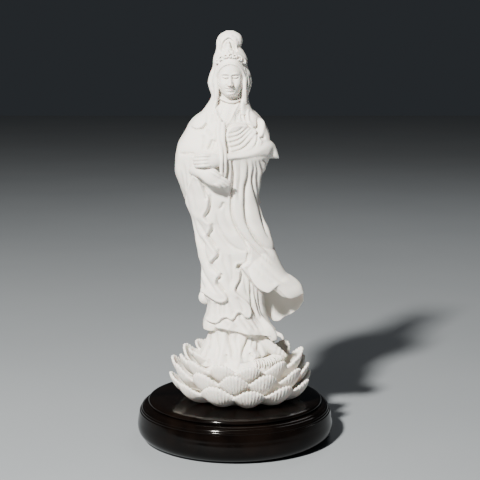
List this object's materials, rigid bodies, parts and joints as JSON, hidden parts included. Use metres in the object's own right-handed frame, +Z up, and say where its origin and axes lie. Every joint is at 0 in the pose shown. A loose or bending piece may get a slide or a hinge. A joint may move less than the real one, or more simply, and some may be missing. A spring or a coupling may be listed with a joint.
{
  "type": "guanyin figure on a lotus with a round plinth",
  "caption": "White robed Guanyin standing on an open lotus with hands crossed at the waist, a wind-blown sleeve, and a round black lacquered plinth.",
  "frame": {"origin": "centre of the plinth's underside", "axes": "+Z up, the figure faces -Y, +X to the viewer's right when facing it"},
  "size_m": [0.12, 0.12, 0.247],
  "materials": {
    "white_bisque": "matt",
    "black_lacquer": "high gloss lacquer"
  },
  "bodies": {
    "root": {"guanyin_on_lotus": "white_bisque", "plinth": "black_lacquer"}
  },
  "joints": []
}
